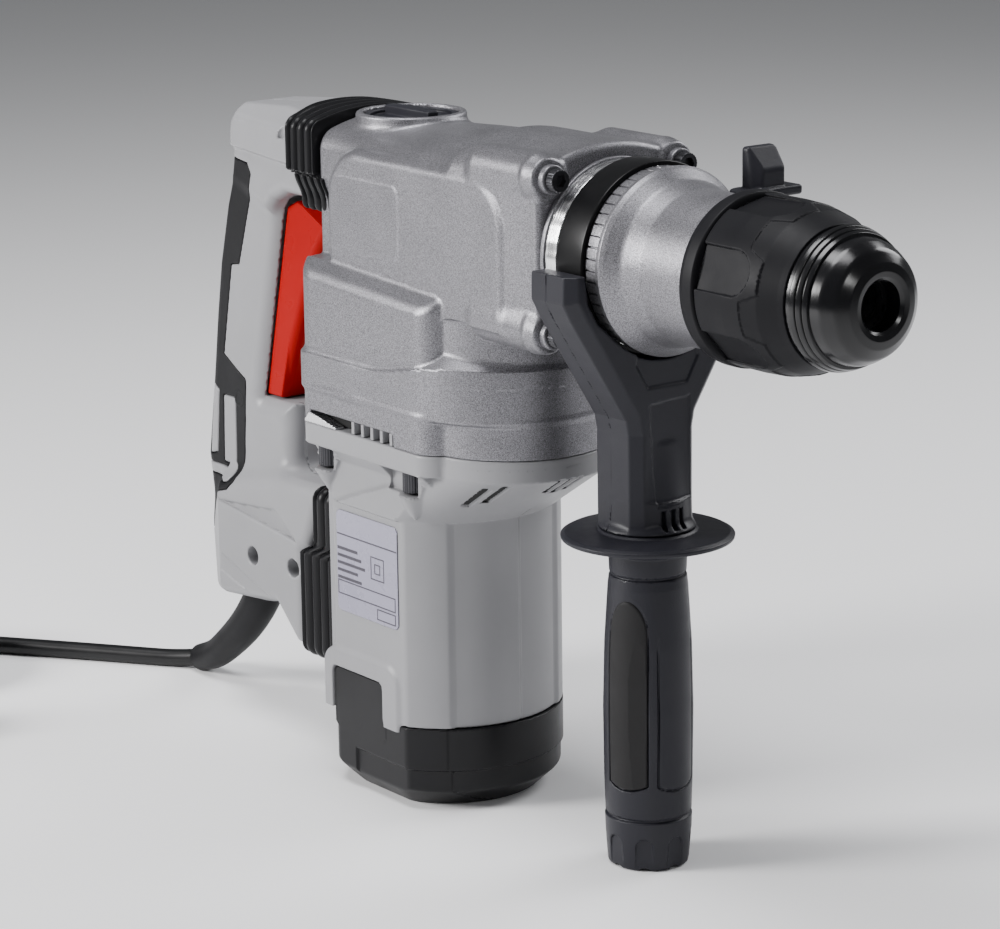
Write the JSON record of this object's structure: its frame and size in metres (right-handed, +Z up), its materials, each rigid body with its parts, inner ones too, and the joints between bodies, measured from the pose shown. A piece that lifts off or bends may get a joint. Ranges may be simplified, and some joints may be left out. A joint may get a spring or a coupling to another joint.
{
  "type": "rotary hammer",
  "caption": "Rotary hammer with upright motor, crank-driven air-cushion striking gear, keyless tool socket, sprung D-handle, long trigger and swivelling side handle.",
  "frame": {"origin": "centre of the tool socket's mouth ring, on the tool axis", "axes": "+X along the tool axis towards the nose, +Z up, away from the motor's end cap; -Y is the side with the vent and label"},
  "size_m": [0.596, 0.2516, 0.2806],
  "materials": {
    "cast_silver": "hammered silver paint on cast aluminium, fine sparkle",
    "grey_plastic": "satin light grey moulded plastic",
    "black_plastic": "satin black moulded plastic",
    "band_steel": "glossy black steel strip",
    "black_rubber": "matte black moulded rubber",
    "gloss_rubber": "smooth, slightly glossy black rubber",
    "soft_insert": "matte soft-touch insert, dark grey",
    "red_plastic": "satin red moulded plastic",
    "black_oxide": "black oxide screw steel",
    "machined_steel": "turned and ground steel",
    "machined_alu": "machined aluminium",
    "copper": "lacquered copper wire",
    "brass": "brass",
    "carbon": "pressed carbon",
    "label_film": null,
    "switch_plastic": "glass-filled plastic",
    "cord_rubber": "rubber-sheathed mains cord"
  },
  "bodies": {
    "housing": {"gear_housing": "cast_silver", "front_neck": "cast_silver", "motor_housing": "grey_plastic", "motor_end_cap": "black_plastic", "front_screws": "black_oxide", "flange_screws": "black_oxide", "cap_screws": "black_oxide", "stator_core": "machined_steel", "stator_windings": "copper", "brush_holders": "brass", "carbon_brushes": "carbon", "bearing_plate": "machined_alu", "motor_bearings": "machined_steel", "crank_bearing": "machined_steel", "cylinder_sleeve": "machined_steel", "nose_bearing": "machined_steel", "oil_seal": "black_rubber", "air_baffle": "black_plastic", "rating_label": "label_film"},
    "rotor": {"armature_shaft": "machined_steel", "armature_core": "machined_steel", "commutator": "copper", "cooling_fan": "black_plastic"},
    "crank": {"crank_gear": "machined_steel"},
    "jackshaft": {"jackshaft": "machined_steel"},
    "crown_gear": {"crown_gear": "machined_steel"},
    "piston": {"piston": "machined_alu", "wrist_pin": "machined_steel", "connecting_rod": "machined_steel"},
    "striker": {"striker": "machined_steel", "striker_ring": "black_rubber"},
    "impact_bolt": {"impact_bolt": "machined_steel"},
    "tool_holder": {"tool_holder": "machined_steel", "lock_rollers": "machined_steel", "dust_cap": "gloss_rubber", "sleeve_spring": "machined_steel"},
    "lock_sleeve": {"lock_sleeve": "black_plastic", "rear_collar": "black_plastic"},
    "mode_knob": {"mode_knob": "black_plastic"},
    "rear_handle": {"handle_right": "grey_plastic", "handle_left": "grey_plastic", "grip_rubber": "black_rubber", "handle_screws": "black_oxide", "switch_module": "switch_plastic", "strain_relief": "black_rubber", "damper_springs": "machined_steel", "upper_bellows": "black_rubber", "lower_bellows": "black_rubber", "cord_lead": "cord_rubber", "cord_coil": "cord_rubber", "cord_tail": "cord_rubber", "mains_plug": "cord_rubber"},
    "trigger": {"trigger": "red_plastic"},
    "side_handle": {"clamp_band": "band_steel", "side_yoke": "black_plastic", "handle_bolt": "machined_steel"},
    "side_grip": {"side_grip": "black_plastic", "grip_insert": "soft_insert"},
    "wing_screw": {"wing_screw": "black_plastic"}
  },
  "joints": [
    {"name": "rotor_spin", "type": "hinge", "parent": "housing", "child": "rotor", "pos_m": [-0.259, 0, -0.14], "axis": [0, 0, 1], "continuous": true},
    {"name": "crank_spin", "type": "hinge", "parent": "housing", "child": "crank", "pos_m": [-0.234, 0, -0.05], "axis": [0, 0, 1], "continuous": true},
    {"name": "jackshaft_spin", "type": "hinge", "parent": "housing", "child": "jackshaft", "pos_m": [-0.202, 0, -0.05], "axis": [0, 0, 1], "continuous": true},
    {"name": "crown_spin", "type": "hinge", "parent": "housing", "child": "crown_gear", "pos_m": [-0.192, 0, 0], "axis": [1, 0, 0], "continuous": true},
    {"name": "piston_slide", "type": "slide", "parent": "housing", "child": "piston", "axis": [1, 0, 0], "range_m": [0, 0.026]},
    {"name": "striker_slide", "type": "slide", "parent": "housing", "child": "striker", "axis": [1, 0, 0], "range_m": [-0.02, 0]},
    {"name": "impact_bolt_slide", "type": "slide", "parent": "tool_holder", "child": "impact_bolt", "axis": [1, 0, 0], "range_m": [0, 0.006]},
    {"name": "tool_holder_spin", "type": "hinge", "parent": "housing", "child": "tool_holder", "pos_m": [-0.05, 0, 0], "axis": [1, 0, 0], "continuous": true},
    {"name": "lock_sleeve_slide", "type": "slide", "parent": "tool_holder", "child": "lock_sleeve", "axis": [-1, 0, 0], "range_m": [0, 0.009], "stiffness_N_per_m": 1500, "springref_m": -0.004, "deforming": ["sleeve_spring"]},
    {"name": "mode_knob_turn", "type": "hinge", "parent": "housing", "child": "mode_knob", "pos_m": [-0.279, 0, 0.036], "axis": [0, 0, 1], "range_deg": [-60, 60]},
    {"name": "handle_damper_slide", "type": "slide", "parent": "housing", "child": "rear_handle", "axis": [1, 0, 0], "range_m": [0, 0.005], "stiffness_N_per_m": 12000, "springref_m": -0.001, "deforming": ["damper_springs", "upper_bellows", "lower_bellows"]},
    {"name": "trigger_pull", "type": "slide", "parent": "rear_handle", "child": "trigger", "axis": [-1, 0, 0], "range_m": [0, 0.006], "stiffness_N_per_m": 900, "springref_m": -0.006},
    {"name": "side_handle_swivel", "type": "hinge", "parent": "housing", "child": "side_handle", "pos_m": [-0.129, 0, 0], "axis": [1, 0, 0], "continuous": true},
    {"name": "side_grip_turn", "type": "hinge", "parent": "side_handle", "child": "side_grip", "pos_m": [-0.129, 0, -0.17], "axis": [0, 0, 1], "range_deg": [-360, 360]},
    {"name": "wing_screw_turn", "type": "hinge", "parent": "side_handle", "child": "wing_screw", "pos_m": [-0.129, 0.052, 0.017], "axis": [0, 0, 1], "range_deg": [-180, 180]}
  ],
  "couplings": [
    {"joint": "crank_spin", "follows": "rotor_spin", "ratio": -0.25},
    {"joint": "jackshaft_spin", "follows": "rotor_spin", "ratio": 0.41667},
    {"joint": "crown_spin", "follows": "rotor_spin", "ratio": 0.083333}
  ]
}
